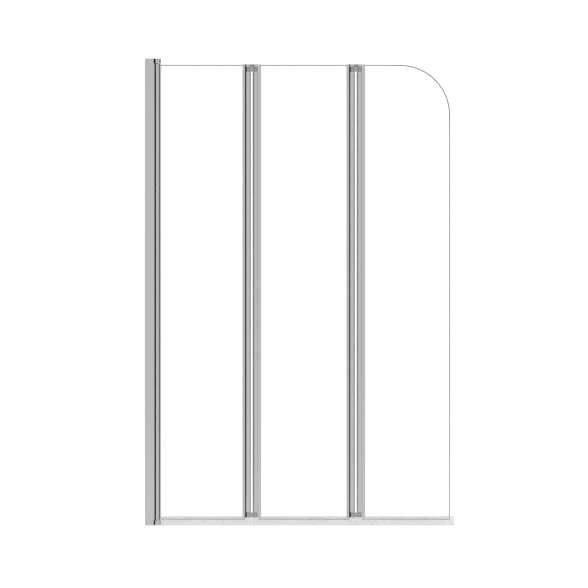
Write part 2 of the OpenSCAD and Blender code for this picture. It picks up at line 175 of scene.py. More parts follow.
class Wire:
    """A node's output, so that sums on it are written as plain expressions"""

    def __init__(self, work, socket):
        self.work = work
        self.socket = socket

    def other(self, output):
        return Wire(self.work, self.socket.node.outputs[output])

    def sum(self, operation, first, second):
        return self.work.add("ShaderNodeMath", {"operation": operation}, {0: first, 1: second})

    def __add__(self, other):
        return self.sum("ADD", self, other)

    def __radd__(self, other):
        return self.sum("ADD", other, self)

    def __sub__(self, other):
        return self.sum("SUBTRACT", self, other)

    def __rsub__(self, other):
        return self.sum("SUBTRACT", other, self)

    def __mul__(self, other):
        return self.sum("MULTIPLY", self, other)

    def __rmul__(self, other):
        return self.sum("MULTIPLY", other, self)

    def __gt__(self, other):
        return self.sum("GREATER_THAN", self, other)


class NodeWork:
    """Adds nodes to one tree"""

    def __init__(self, tree):
        self.tree = tree

    def feed(self, socket, value):
        if isinstance(value, Wire):
            self.tree.links.new(value.socket, socket)
        else:
            socket.default_value = value

    def add(self, kind, settings=(), values=(), output=0):
        node = self.tree.nodes.new(kind)
        for name, value in dict(settings).items():
            setattr(node, name, value)
        for socket, value in dict(values).items():
            self.feed(node.inputs[socket], value)
        return Wire(self, node.outputs[output])


class Finish(NodeWork):
    """A material in the making: constants go on its shader, and patterns feed it"""

    def __init__(self, name, constants):
        self.material = bpy.data.materials.new(name)
        self.material.use_nodes = True
        super().__init__(self.material.node_tree)
        self.shader = self.tree.nodes["Principled BSDF"]
        for socket, value in constants.items():
            self.shader.inputs[socket].default_value = value
        self.place = self.add("ShaderNodeTexCoord", output="Object")

    def grain(self, per_metre, detail=2.0, seed=0.0):
        """Soft noise from 0 to 1, with its own number of grains per metre along X, Y and Z"""
        stretched = self.add(
            "ShaderNodeMapping",
            values={"Vector": self.place, "Location": (seed, seed, seed), "Scale": per_metre},
        )
        return self.add(
            "ShaderNodeTexNoise",
            values={"Vector": stretched, "Scale": 1.0, "Detail": detail, "Roughness": 0.55},
        )

    def between(self, share, dark, light):
        """A colour from dark to light, as the share goes from 0 to 1"""
        return self.add(
            "ShaderNodeMix",
            {"data_type": "RGBA"},
            {0: share, 6: (*dark, 1.0), 7: (*light, 1.0)},
            output=2,
        )

    def relief(self, height, depth_mm, strength):
        return self.add(
            "ShaderNodeBump", values={"Height": height, "Distance": depth_mm * MM, "Strength": strength}
        )

    def drive(self, **patterns):
        """Feeds the shader's sockets, and gives the finished material"""
        for name, value in patterns.items():
            self.feed(self.shader.inputs[name.replace("_", " ")], value)
        return self.material


# ---- Finishes ----


def drawn_aluminium():
    """Anodised extrusion: fine lines of the die along Z, and a slow change of tone"""
    finish = Finish("anodised_aluminium", {"Metallic": 1.0})
    lines = finish.grain((2100, 2100, 1.3), 3.0)
    tone = finish.grain((14, 14, 1.1), 1.0, seed=3.0)
    shade = lines * 0.45 + tone * 0.55
    return finish.drive(
        Base_Color=finish.between(shade, (0.43, 0.432, 0.435), (0.515, 0.517, 0.52)),
        Roughness=0.15 + 0.09 * lines,
        Normal=finish.relief(lines, 0.004, 0.5),
    )


def sawn_end_and_painted_shade():
    """Matt sawn ends of the extrusion, with the marks of the saw across them, in a darker tone than raw
    aluminium has: painted shade of the niche beside a pivot head
    """
    finish = Finish("sawn_aluminium_end", {"Metallic": 1.0})
    marks = finish.grain((900, 900, 5200), 2.0)
    smear = finish.grain((160, 160, 160), 2.0, seed=11.0)
    return finish.drive(
        # the dark tone is painted shade; the saw marks and the matt roughness are the cut's own
        Base_Color=finish.between(smear, (0.2, 0.2, 0.2), (0.3, 0.3, 0.3)),
        Roughness=0.5 + 0.2 * marks,
        Normal=finish.relief(marks, 0.01, 0.4),
    )


def cast_zinc(name, dark, light):
    """Satin plated casting: the faint unevenness of the mould under the plating"""
    finish = Finish(name, {"Metallic": 1.0})
    skin = finish.grain((420, 420, 420), 3.0)
    specks = finish.grain((2600, 2600, 2600), 1.0, seed=5.0)
    return finish.drive(
        Base_Color=finish.between(skin, (dark,) * 3, (light,) * 3),
        Roughness=0.09 + 0.07 * specks + 0.04 * skin,
        Normal=finish.relief(skin * 0.7 + specks * 0.3, 0.02, 0.35),
    )


def painted_shade_neck_finish():
    """Near-black rough tone on the neck of a pivot block: painted shade of the narrow gap between the
    post's end and the round head
    """
    finish = Finish("dark_casting_skin", {"Metallic": 0.3, "Specular IOR Level": 0.2})
    mould = finish.grain((700, 700, 700), 3.0)
    blotches = finish.grain((140, 140, 140), 2.0, seed=12.0)
    return finish.drive(
        # near-black tone is painted shade of the gap beside the post's end
        Base_Color=finish.between(blotches, (0.012, 0.012, 0.013), (0.03, 0.03, 0.031)),
        Roughness=0.5 + 0.2 * mould,
        Normal=finish.relief(mould, 0.03, 0.5),
    )


def turned_steel():
    """Stainless pins and screws, with fine turning marks"""
    finish = Finish("turned_stainless", {"Metallic": 1.0})
    marks = finish.grain((300, 300, 3800), 2.0)
    smear = finish.grain((180, 180, 180), 2.0, seed=2.0)
    return finish.drive(
        Base_Color=finish.between(smear, (0.48, 0.47, 0.45), (0.6, 0.59, 0.57)),
        Roughness=0.2 + 0.16 * marks,
        Normal=finish.relief(marks, 0.006, 0.4),
    )


def natural_nylon():
    """Moulded nylon, slightly translucent, with faint flow lines"""
    finish = Finish("natural_nylon", {"Subsurface Weight": 0.15, "Subsurface Scale": 0.002, "IOR": 1.53})
    flow = finish.grain((260, 260, 90), 2.0)
    pores = finish.grain((3000, 3000, 3000), 1.0, seed=4.0)
    return finish.drive(
        Base_Color=finish.between(flow, (0.76, 0.75, 0.70), (0.84, 0.83, 0.79)),
        Roughness=0.38 + 0.14 * pores,
        Normal=finish.relief(pores, 0.01, 0.3),
    )


def pressed_rubber(name, dark, light, roughness):
    """Extruded rubber: long soft lines with a fine matt bloom over them"""
    finish = Finish(name, {"IOR": 1.48, "Specular IOR Level": 0.08})
    lines = finish.grain((1500, 1500, 6), 2.0)
    bloom = finish.grain((1900, 1900, 1900), 2.0, seed=7.0)
    return finish.drive(
        Base_Color=finish.between(bloom * 0.6 + lines * 0.4, dark, light),
        Roughness=roughness + 0.18 * bloom,
        Normal=finish.relief(lines * 0.5 + bloom * 0.5, 0.02, 0.4),
    )


def clear_glass():
    """Toughened glass: the long faint waves of the furnace rollers"""
    finish = Finish("toughened_glass", {"Transmission Weight": 1.0, "Roughness": 0.0, "IOR": 1.5})
    waves = finish.grain((3.5, 3.5, 0.8), 1.0)
    body = finish.grain((2, 2, 2), 1.0, seed=9.0)
    return finish.drive(
        Base_Color=finish.between(body, (0.972, 0.992, 0.984), (0.98, 0.995, 0.989)),
        Normal=finish.relief(waves, 0.01, 0.2),
    )


def polished_arris():
    """Ground and polished edge of the glass, dark with the green of its depth"""
    finish = Finish("ground_glass_edge", {"IOR": 1.5, "Specular IOR Level": 0.3})
    strokes = finish.grain((900, 5200, 900), 2.0)
    depth = finish.grain((22, 22, 22), 2.0, seed=6.0)
    return finish.drive(
        Base_Color=finish.between(depth * 0.7 + strokes * 0.3, (0.02, 0.032, 0.028), (0.05, 0.075, 0.066)),
        Roughness=0.12 + 0.16 * strokes,
        Normal=finish.relief(strokes, 0.006, 0.3),
    )


def milky_pvc():
    """Thin clear seal with the long lines of its extrusion along X: slightly milky, but clearer
    where it lies on the glass"""
    finish = Finish("milky_pvc", {"IOR": 1.45})
    on_glass = finish.add("ShaderNodeSeparateXYZ", values={0: finish.place}, output=2) > GLASS_Z[0] * MM
    lines = finish.grain((5, 1700, 1700), 2.0)
    haze = finish.grain((16, 70, 70), 2.0, seed=8.0)
    return finish.drive(
        Base_Color=finish.between(haze * 0.6 + lines * 0.4, (0.65, 0.653, 0.65), (0.74, 0.743, 0.74)),
        Roughness=0.2 + 0.14 * haze,
        Alpha=0.27 + 0.09 * haze - 0.04 * on_glass,
        Normal=finish.relief(lines * 0.9 + haze * 0.1, 0.012, 0.3),
    )


def cut_pvc():
    """Cut ends of the seal, cloudier than its clear walls"""
    finish = Finish("cut_pvc_end", {"IOR": 1.45})
    marks = finish.grain((300, 300, 2400), 2.0)
    haze = finish.grain((120, 120, 120), 2.0, seed=13.0)
    return finish.drive(
        Base_Color=finish.between(haze, (0.40, 0.403, 0.40), (0.50, 0.503, 0.50)),
        Roughness=0.4 + 0.2 * marks,
        Alpha=0.72 + 0.16 * marks,
        Normal=finish.relief(marks, 0.01, 0.3),
    )


def silver_plastic():
    """Moulding with silver flakes in it"""
    finish = Finish("silver_moulding", {"Metallic": 0.55, "IOR": 1.5})
    spark = finish.grain((3200, 3200, 3200), 2.0)
    flakes = finish.grain((900, 900, 900), 1.0, seed=1.0)
    return finish.drive(
        Base_Color=finish.between(flakes, (0.40, 0.402, 0.405), (0.50, 0.502, 0.505)),
        Roughness=0.36 + 0.14 * spark,
        Normal=finish.relief(spark, 0.012, 0.4),
    )


FINISH = {
    "satin_aluminium": drawn_aluminium(),
    "satin_zinc": cast_zinc("plated_zinc", 0.41, 0.50),
    "stainless_steel": turned_steel(),
    "white_nylon": natural_nylon(),
    "glazing_rubber": pressed_rubber(
        "grey_rubber", (0.075, 0.08, 0.083), (0.115, 0.12, 0.125), 0.5
    ),
    "black_rubber": pressed_rubber(
        "matt_black_rubber", (0.005, 0.005, 0.0055), (0.011, 0.011, 0.012), 0.45
    ),
    "clear_glass": clear_glass(),
    "clear_pvc": milky_pvc(),
    "silver_plastic": silver_plastic(),
}
GLASS_EDGE = polished_arris()
# sawn ends: real saw marks, with a darker tone that is painted shade
SAWN_END_SHADED = sawn_end_and_painted_shade()
# painted shade for the necks of the pivot blocks
NECK_PAINTED_SHADE = painted_shade_neck_finish()
CUT_PVC = cut_pvc()
EDGES = (GLASS_EDGE, SAWN_END_SHADED, NECK_PAINTED_SHADE, CUT_PVC)
# links: plated zinc in a darker tone than the caps, as painted shade of the recess between the caps and the
# tubes' noses
LINK_ZINC_PAINTED_SHADE = cast_zinc("dull_plated_zinc", 0.29, 0.36)

# ---- Outlines, anticlockwise, in millimetres ----


def arc(radius, start, end, steps, centre=(0.0, 0.0)):
    """Points on an arc, in degrees anticlockwise from +X"""
    turns = [math.radians(start + (end - start) * i / steps) for i in range(steps + 1)]
    return [(centre[0] + radius * math.cos(t), centre[1] + radius * math.sin(t)) for t in turns]


def hole(radius, steps=48, centre=(0.0, 0.0)):
    """A circle the other way round, for a hole in an outline"""
    return arc(radius, 360, 0, steps, centre)[:-1]


def softened(outline, radius, steps=3):
    """Rounds the corners of a closed outline, and leaves the points of its arcs alone"""
    result = []
    for i, point in enumerate(outline):
        corner = Vector(point)
        before = Vector(outline[i - 1]) - corner
        after = Vector(outline[(i + 1) % len(outline)]) - corner
        turn = math.pi - before.angle(after)
        if turn < BEND:
            result.append(tuple(corner))
            continue
        reach = min(radius * math.tan(turn / 2), 0.45 * before.length, 0.45 * after.length)
        start = corner + before.normalized() * reach
        end = corner + after.normalized() * reach
        for step in range(steps + 1):
            t = step / steps
            result.append(tuple(start * (1 - t) ** 2 + corner * (2 * t * (1 - t)) + end * t * t))
    return result


def oblong(x0, x1, y0, y1):
    return [(x0, y0), (x1, y0), (x1, y1), (x0, y1)]


def mirrored(outline, across="x"):
    """The outline on the other side of an axis, still anticlockwise"""
    if across == "x":
        return [(-x, y) for x, y in reversed(outline)]
    return [(x, -y) for x, y in reversed(outline)]


def carrier_outline(groove, slot, reach):
    """Round nose, bead grooves beside it, and two lips with the glass slot between them"""
    nose_y = math.sqrt(NOSE_R**2 - groove**2)
    cut = math.degrees(math.asin(nose_y / NOSE_R))
    return [
        (reach, -LIP_HALF), (reach, -SLOT_HALF), (slot, -SLOT_HALF),
        (slot, SLOT_HALF), (reach, SLOT_HALF), (reach, LIP_HALF),
        (groove, LIP_HALF), *arc(NOSE_R, cut, 360 - cut, 72), (groove, -LIP_HALF),
    ]


def rubber_outline(slot, reach):
    """U of rubber that wraps the edge of the glass in its slot"""
    end = reach - RUBBER_BACK
    floor = slot + RUBBER_BASE
    return [
        (slot, -SLOT_HALF), (end, -SLOT_HALF), (end, -GLASS_HALF), (floor, -GLASS_HALF),
        (floor, GLASS_HALF), (end, GLASS_HALF), (end, SLOT_HALF), (slot, SLOT_HALF),
    ]


def bar_bead_outline():
    """Bead of the hinge bar, level with its round nose"""
    far = math.sqrt(NOSE_R**2 - LIP_HALF**2)
    start = math.degrees(math.acos(far / NOSE_R))
    end = math.degrees(math.acos(BAR_GROOVE / NOSE_R))
    return [(BAR_GROOVE, LIP_HALF), *arc(NOSE_R, start, end, 8)]


def tube_bead_outline():
    """Bead of a joint tube, up to the height of its round nose"""
    top = math.sqrt(NOSE_R**2 - TUBE_GROOVE**2)
    return softened(oblong(TUBE_GROOVE, TUBE_GROOVE + BEAD_W, LIP_HALF, top), 0.5)


def wiper_outline():
    """Root in the post's mouth and a lip that leans on the nose of the hinge bar"""
    inner = -POST_Y[0] - POST_WALL
    root_x = POST_X[1] - 3.4
    root_y = inner - 1.2
    tip_off = LIP_HALF + 1.4 * GAP
    tip_y = math.sqrt((NOSE_R + GAP) ** 2 - tip_off**2)
    tip_x = WALL_AXIS - tip_off
    outline = [
        (root_x, inner), (root_x, root_y), (POST_X[1], root_y), (tip_x, tip_y),
        (tip_x, tip_y + 1.8), (POST_X[1], root_y + 2.6), (POST_X[1], inner),
    ]
    return softened(outline, 0.35)


def block_outline():
    """Round head about the hinge axis, neck, and foot in the post's mouth"""
    foot = span("bottom_pivot_block")[0][0] - WALL_AXIS
    inner = -POST_Y[0] - POST_WALL - BLOCK_ROOM
    meet = math.degrees(math.asin(BLOCK_NECK / BLOCK_R))
    shoulder = foot + BLOCK_FOOT
    return [
        (foot, -inner), (shoulder, -inner), (shoulder, -BLOCK_NECK),
        *arc(BLOCK_R, meet - 180, 180 - meet, 84),
        (shoulder, BLOCK_NECK), (shoulder, inner), (foot, inner),
    ]


def cap_outline():
    """Round cap, cut flat where its tube's clamp begins"""
    meet = math.degrees(math.acos(TUBE_GROOVE / CAP_R))
    return arc(CAP_R, meet, 360 - meet, 72)


def link_outline():
    """Two eyes and a narrower waist, from the left eye's axis"""
    meet = math.degrees(math.asin(LINK_WAIST / LINK_R))
    right_eye = arc(LINK_R, meet - 180, 180 - meet, 48, (LINK_PITCH, 0))
    left_eye = arc(LINK_R, meet, 360 - meet, 48)
    return right_eye + left_eye


def pane_outline(x0, x1, z0, z1, corner_r=0.0):
    """A pane with blunted corners, or with one large round one"""
    if not corner_r:
        return softened(oblong(x0, x1, z0, z1), PANE_CORNER, 2)
    round_corner = arc(corner_r, 0, 90, 60, (x1 - corner_r, z1 - corner_r))
    beyond = corner_r + CORNER_RUN
    outline = [(x0, z0), (x1, z0), (x1, z1 - beyond), *round_corner, (x1 - beyond, z1), (x0, z1)]
    return softened(outline, PANE_CORNER, 2)


def seal_outline():
    """Two legs that grip the glass, a bridge below it and two fins, in Y and Z"""
    leg = GLASS_HALF + SEAL_LEG
    grip_top = GLASS_Z[0] + SEAL_GRIP
    bridge_z = GLASS_Z[0] - SEAL_BRIDGE
    foot_z = span("bottom_seal_1")[2][0]
    fin_in, fin_out = FIN_FOOT
    half = [
        (GLASS_HALF, GLASS_Z[0]), (GLASS_HALF, grip_top), (leg, grip_top),
        (leg, bridge_z), (fin_out, foot_z), (fin_in, foot_z), (leg - 1.0, bridge_z),
    ]
    return softened(half + [(-y, z) for y, z in reversed(half)], 0.3, 2)[::-1]


# ---- Shaping trees ----


def tree_with(name, inputs):
    """A geometry tree with named inputs, and its node work"""
    tree = bpy.data.node_groups.new(name, "GeometryNodeTree")
    for socket, kind in inputs.items():
        tree.interface.new_socket(socket, in_out="INPUT", socket_type="NodeSocket" + kind)
    tree.interface.new_socket("Piece", in_out="OUTPUT", socket_type="NodeSocketGeometry")
    work = NodeWork(tree)
    return work, work.add("NodeGroupInput")


def finish_tree(work, result):
    out = work.tree.nodes.new("NodeGroupOutput")
    work.tree.links.new(result.socket, out.inputs["Piece"])
    return work.tree


def drawn_tree(name, steps):
    """Draws a flat blank up along Z, and softens both its ends in steps"""
    work, given = tree_with(name, {
        "Blank": "Geometry", "Length": "Float", "Soft edge": "Float",
        "Face finish": "Material", "Side finish": "Material",
    })
    length, soft = given.other("Length"), given.other("Soft edge")
    way_in = work.add("GeometryNodeInputNamedAttribute", {"data_type": "FLOAT_VECTOR"}, {"Name": "way_in"})

    def moved(shape, selection, share):
        drift = work.add("ShaderNodeVectorMath", {"operation": "SCALE"}, {0: way_in, "Scale": soft * share})
        return work.add(
            "GeometryNodeSetPosition", values={"Geometry": shape, "Selection": selection, "Offset": drift}
        )

    turns = [math.pi / 2 * k / steps for k in range(steps + 1)]
    insets = [1 - math.sin(t) for t in turns]
    rises = [1 - math.cos(t) for t in turns]
    up = [(soft * (rises[k + 1] - rises[k]), insets[k + 1] - insets[k]) for k in range(steps)]
    down = [(rise, -drift) for rise, drift in reversed(up)]
    shape = moved(given.other("Blank"), True, 1.0)
    foot = work.add("GeometryNodeFlipFaces", values={"Mesh": shape})
    top, side = True, None
    for rise, drift in up + [(length - 2 * soft, 0.0)] + down:
        lift = work.add("ShaderNodeCombineXYZ", values={"Z": rise})
        drawn = work.add(
            "GeometryNodeExtrudeMesh",
            {"mode": "FACES"},
            {"Mesh": shape, "Selection": top, "Offset": lift, "Offset Scale": 1.0, "Individual": False},
        )
        top = drawn.other("Top")
        new_side = drawn.other("Side")
        side = new_side if side is None else work.add(
            "FunctionNodeBooleanMath", {"operation": "OR"}, {0: side, 1: new_side}
        )
        shape = moved(drawn, top, drift) if drift else drawn
    joined = work.add("GeometryNodeJoinGeometry")
    for part in (foot, shape):
        work.feed(joined.socket.node.inputs[0], part)
    merged = work.add("GeometryNodeMergeByDistance", values={"Geometry": joined, "Distance": 1e-6})
    real = work.add("GeometryNodeRealizeInstances", values={"Geometry": merged})
    faced = work.add(
        "GeometryNodeSetMaterial", values={"Geometry": real, "Material": given.other("Face finish")}
    )
    sided = work.add(
        "GeometryNodeSetMaterial",
        values={"Geometry": faced, "Selection": side, "Material": given.other("Side finish")},
    )
    return finish_tree(work, sided)


def setting_out_tree():
    """Sets out copies of a piece on a straight line, each turned on from the last"""
    work, given = tree_with("setting_out", {
        "Pattern": "Geometry", "Count": "Int", "First": "Vector", "Step": "Vector",
        "Turn": "Vector", "Loose turn": "Vector", "Seed": "Int", "Finish": "Material",
    })
    line = work.add(
        "GeometryNodeMeshLine",
        {"mode": "OFFSET", "count_mode": "TOTAL"},
        {
            "Count": given.other("Count"),
            "Start Location": given.other("First"),
            "Offset": given.other("Step"),
        },
    )
    index = work.add("GeometryNodeInputIndex")
    chance = work.add(
        "FunctionNodeRandomValue", {"data_type": "FLOAT"}, {"Seed": given.other("Seed")}, output=1
    )
    ordered = work.add(
        "ShaderNodeVectorMath", {"operation": "SCALE"}, {0: given.other("Turn"), "Scale": index}
    )
    loose = work.add(
        "ShaderNodeVectorMath", {"operation": "SCALE"}, {0: given.other("Loose turn"), "Scale": chance}
    )
    turn = work.add("ShaderNodeVectorMath", {"operation": "ADD"}, {0: ordered, 1: loose})
    copies = work.add(
        "GeometryNodeInstanceOnPoints",
        values={"Points": line, "Instance": given.other("Pattern"), "Rotation": turn},
    )
    real = work.add("GeometryNodeRealizeInstances", values={"Geometry": copies})
    finished = work.add(
        "GeometryNodeSetMaterial", values={"Geometry": real, "Material": given.other("Finish")}
    )
    return finish_tree(work, finished)


SAWN = drawn_tree("drawn_and_sawn", 1)
ROUNDED = drawn_tree("drawn_and_rounded", 3)
SETTING_OUT = setting_out_tree()

# ---- Making pieces ----


def on_table(name, mesh):
    piece = bpy.data.objects.new(name, mesh)
    bpy.context.scene.collection.objects.link(piece)
    return piece


def settle(piece):
    """Turns a piece with its modifiers into a plain mesh"""
    seen = piece.evaluated_get(bpy.context.evaluated_depsgraph_get())
    mesh = bpy.data.meshes.new_from_object(seen)
    piece.modifiers.clear()
    piece.data = mesh
    mesh.name = piece.name
    return piece


def run_tree(piece, tree, values):
    """Shapes a piece with a tree and its named values"""
    modifier = piece.modifiers.new("shape", "NODES")
    modifier.node_group = tree
    for item in tree.interface.items_tree:
        if item.in_out == "INPUT" and item.name in values:
            modifier[item.identifier] = values[item.name]
    return settle(piece)


INSIDE = 1   # the triangulation keeps what lies inside the outline


def encloses(loop, point):
    """Whether a loop goes round a point"""
    crossings = 0
    for i, (x, y) in enumerate(loop):
        last_x, last_y = loop[i - 1]
        if (y > point.y) != (last_y > point.y):
            crossings += point.x < x + (last_x - x) * (point.y - y) / (last_y - y)
    return crossings % 2 == 1


def evenly(_corner):
    return 1.0


def blank(loops, share=evenly):
    """A flat mesh of an outline and its holes. Each point keeps the way in from the outline's edge,
    made longer where its share is above 1."""
    points, ways = [], []
    for loop in loops:
        corners = [Vector(point) for point in loop]
        for i, corner in enumerate(corners):
            before = (corner - corners[i - 1]).normalized()
            after = (corners[(i + 1) % len(corners)] - corner).normalized()
            inward = Vector((-before.y - after.y, before.x + after.x))
            ways.append((*(inward * share(corner) / (1 + before.dot(after))), 0.0))
            points.append((corner.x, corner.y, 0.0))
    rims, start = [], 0
    for loop in loops:
        rims += [(start + i, start + (i + 1) % len(loop)) for i in range(len(loop))]
        start += len(loop)
    flat = [Vector(point[:2]) for point in points]
    _, _, triangles, known, _, _ = delaunay_2d_cdt(flat, rims, [], INSIDE, 1e-6)
    faces = []
    for triangle in triangles:
        a, b, c = (known[i][0] for i in triangle)
        middle = (flat[a] + flat[b] + flat[c]) / 3
        if any(encloses(loop, middle) for loop in loops[1:]):
            continue
        anticlockwise = (flat[b] - flat[a]).cross(flat[c] - flat[a]) > 0
        faces.append((a, b, c) if anticlockwise else (a, c, b))
    mesh = bpy.data.meshes.new("blank")
    mesh.from_pydata([Vector(p) * MM for p in points], [], faces)
    stored = mesh.attributes.new("way_in", "FLOAT_VECTOR", "POINT")
    stored.data.foreach_set("vector", [value for way in ways for value in way])
    return mesh


def drawn(name, loops, z0, z1, finish, soft=0.25, side=None, tree=None, share=evenly):
    """A piece drawn along Z from z0 to z1, from an outline followed by its holes"""
    piece = on_table(name, blank(loops, share))
    run_tree(piece, tree or SAWN, {
        "Length": (z1 - z0) * MM, "Soft edge": soft * MM,
        "Face finish": finish, "Side finish": side or finish,
    })
    way_in = piece.data.attributes.get("way_in")
    if way_in:
        piece.data.attributes.remove(way_in)
    return shifted(piece, (0, 0, z0))


def shifted(piece, by):
    piece.data.transform(Matrix.Translation(Vector(by) * MM))
    return piece


def laid(piece, x_to, y_to, z_to):
    """Turns a piece so that its X, Y and Z run the given ways"""
    piece.data.transform(Matrix((x_to, y_to, z_to)).transposed().to_4x4())
    return piece


def upended(piece, height):
    """Mirrors a piece from the foot of the screen to its top, with its faces still outwards"""
    piece.data.transform(Matrix.Translation((0, 0, height * MM)) @ Matrix.Diagonal((1, 1, -1, 1)))
    piece.data.flip_normals()
    return piece


def turned(name, profile, sides=64):
    """A piece turned about Z, from points of radius and height round its profile"""
    verts, rings = [], []
    for radius, height in profile:
        start = len(verts)
        count = sides if radius > 0 else 1
        for i in range(count):
            angle = 2 * math.pi * i / sides
            verts.append((radius * math.cos(angle) * MM, radius * math.sin(angle) * MM, height * MM))
        rings.append([start + (i if count > 1 else 0) for i in range(sides)])
    faces = []
    for k, ring in enumerate(rings):
        onward = rings[(k + 1) % len(rings)]
        for i in range(sides):
            j = (i + 1) % sides
            face = list(dict.fromkeys((ring[i], ring[j], onward[j], onward[i])))
            if len(face) > 2:
                faces.append(face)
    mesh = bpy.data.meshes.new(name)
    mesh.from_pydata(verts, [], faces)
    return on_table(name, mesh)


def joined(name, pieces):
    """One object from several, each already in place"""
    verts, faces = [], []
    for piece in pieces:
        start = len(verts)
        verts += [v.co.copy() for v in piece.data.vertices]
        faces += [[start + i for i in face.vertices] for face in piece.data.polygons]
        bpy.data.objects.remove(piece)
    mesh = bpy.data.meshes.new(name)
    mesh.from_pydata(verts, [], faces)
    return on_table(name, mesh)


def cut(piece, tools):
    """Takes the tools' shapes out of a piece"""
    tool = joined("tool", tools)
    modifier = piece.modifiers.new("cut", "BOOLEAN")
    modifier.operation = "DIFFERENCE"
    modifier.solver = "MANIFOLD"
    modifier.object = tool
    settle(piece)
    bpy.data.objects.remove(tool)
    return piece


def block_tool(x, y, z):
    """A cutter with straight sides, from its lowest and highest X, Y and Z"""
    tool = on_table("tool", blank([oblong(x[0], x[1], y[0], y[1])]))
    run_tree(tool, SAWN, {"Length": (z[1] - z[0]) * MM, "Soft edge": 0.0})
    return shifted(tool, (0, 0, z[0]))


def drill(radius, start, length, along="z", sides=48):
    """A round cutter from a point along X, Y or Z"""
    tool = turned("tool", [(0, 0), (radius, 0), (radius, length), (0, length)], sides)
    if along == "x":
        laid(tool, (0, 1, 0), (0, 0, 1), (1, 0, 0))
    if along == "y":
        laid(tool, (0, 0, 1), (1, 0, 0), (0, 1, 0))
    return shifted(tool, start)


def stand_in(piece, node, slot, finish=None):
    """Finishes a piece: smooth where it is round, and in the place of its CAD node"""
    mesh = piece.data
    edge = next((material for material in mesh.materials if material in EDGES), None)
    on_edge = [
        edge is not None and mesh.materials[face.material_index] == edge for face in mesh.polygons
    ]
    mesh.materials.clear()
    mesh.materials.append(finish or FINISH[slot])
    if any(on_edge):
        mesh.materials.append(edge)
        mesh.polygons.foreach_set("material_index", on_edge)
    mesh.shade_smooth()
    mesh.set_sharp_from_angle(angle=SHARP)
    weighted = piece.modifiers.new("weighted", "WEIGHTED_NORMAL")
    weighted.keep_sharp = True
    weighted.weight = 100
    settle(piece)
    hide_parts(node)
    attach(piece, frame["nodes"][node]["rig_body"])
    return piece


def edge_faces(piece, finish, chosen):
    """Gives another finish to the upright faces whose middles a test picks"""
    mesh = piece.data
    mesh.materials.append(finish)
    for face in mesh.polygons:
        if abs(face.normal.z) < UPRIGHT and chosen(face.center / MM):
            face.material_index = len(mesh.materials) - 1
    return piece


def rim(radius, z0, z1, soft=0.4, steps=3):
    """Profile of a round rod with both its rims rounded"""
    low = arc(soft, -90, 0, steps, (radius - soft, z0 + soft))
    high = arc(soft, 0, 90, steps, (radius - soft, z1 - soft))
    return [(0, z0), *low, *high, (0, z1)]


def front_and_back(name, outline, z_range, soft):
    """A strip of black rubber and its mirror image on the other face of the screen"""
    return joined(name, [
        drawn("strip", [shape], *z_range, FINISH["black_rubber"], soft)
        for shape in (outline, mirrored(outline, "y"))
    ])


# ---- Wall side ----

ALUMINIUM = FINISH["satin_aluminium"]
ZINC = FINISH["satin_zinc"]
BLOCK_H = span("bottom_pivot_block")[2][1]


def make_wall_channel():
    (x0, x1), (y0, y1), (z0, z1) = span("wall_channel")
    inner = y1 - CHANNEL_WALL
    outline = [
        (x0, y0), (x1, y0), (x1, -inner), (CHANNEL_BACK, -inner),
        (CHANNEL_BACK, inner), (x1, inner), (x1, y1), (x0, y1),
    ]
    channel = drawn("wall_channel_extrusion", [softened(outline, 0.4)], z0, z1, ALUMINIUM)
    drills = [drill(WALL_HOLE_R, (-PAST, 0, z), CHANNEL_BACK + 2 * PAST, "x") for z in WALL_SCREW_Z]
    drills += [
        drill(SIDE_PILOT_R, (SIDE_SCREW_X, SIDE_DRILL_Y[1], z), SIDE_DRILL_L, "y", 32) for z in SIDE_SCREW_Z
    ]
    stand_in(cut(channel, drills), "wall_channel", "satin_aluminium")


def make_post():
    (x0, x1), (y0, y1), (z0, z1) = POST_X, POST_Y, POST_Z
    inner = y1 - POST_WALL
    outline = [
        (x0, y0), (x1, y0), (x1, -inner), (WEB_X[1], -inner), (WEB_X[1], inner), (x1, inner),
        (x1, y1), (x0, y1), (x0, inner), (WEB_X[0], inner), (WEB_X[0], -inner), (x0, -inner),
    ]
    post = drawn("wall_post_extrusion", [softened(outline, 0.5)], z0, z1, ALUMINIUM)
    notch_x = (WALL_AXIS - BLOCK_R - BLOCK_ROOM, x1 + PAST)
    notch_y = (y0 - PAST, y1 + PAST)
    notch_h = BLOCK_H + GAP
    web_h = WEB_X[1] - WEB_X[0] + 2 * PAST
    tools = [
        block_tool(notch_x, notch_y, (z0 - PAST, notch_h)),
        block_tool(notch_x, notch_y, (z1 - notch_h, z1 + PAST)),
    ]
    for z in (BLOCK_H / 2, z1 - BLOCK_H / 2):
        tools.append(drill(WEB_HOLE_R, (WEB_X[0] - PAST, 0, z), web_h, "x", 32))
    for z in SIDE_SCREW_Z:
        tools.append(drill(SIDE_HOLE_R, (SIDE_SCREW_X, SIDE_DRILL_Y[0], z), SIDE_DRILL_L, "y", 32))
    cut(post, tools)
    # the notch's end face gets the sawn finish, whose dark tone is painted shade beside the pivot head
    edge_faces(post, SAWN_END_SHADED, lambda middle: abs(middle.x - notch_x[0]) < ON_FLAT)
    stand_in(post, "post_profile", "satin_aluminium")


def make_top_cover():
    (x0, x1), (y0, y1), (z0, z1) = span("post_top_cover")
    outline = softened(oblong(x0, x1, y0, y1), 0.8)
    cover = drawn("post_cover_plate", [outline], z0, z1, FINISH["silver_plastic"], 0.5, tree=ROUNDED)
    stand_in(cover, "post_top_cover", "silver_plastic")


def make_wipers():
    wipers = front_and_back("post_mouth_wipers", wiper_outline(), span("post_wipers")[2], 0.25)
    stand_in(wipers, "post_wipers", "black_rubber")


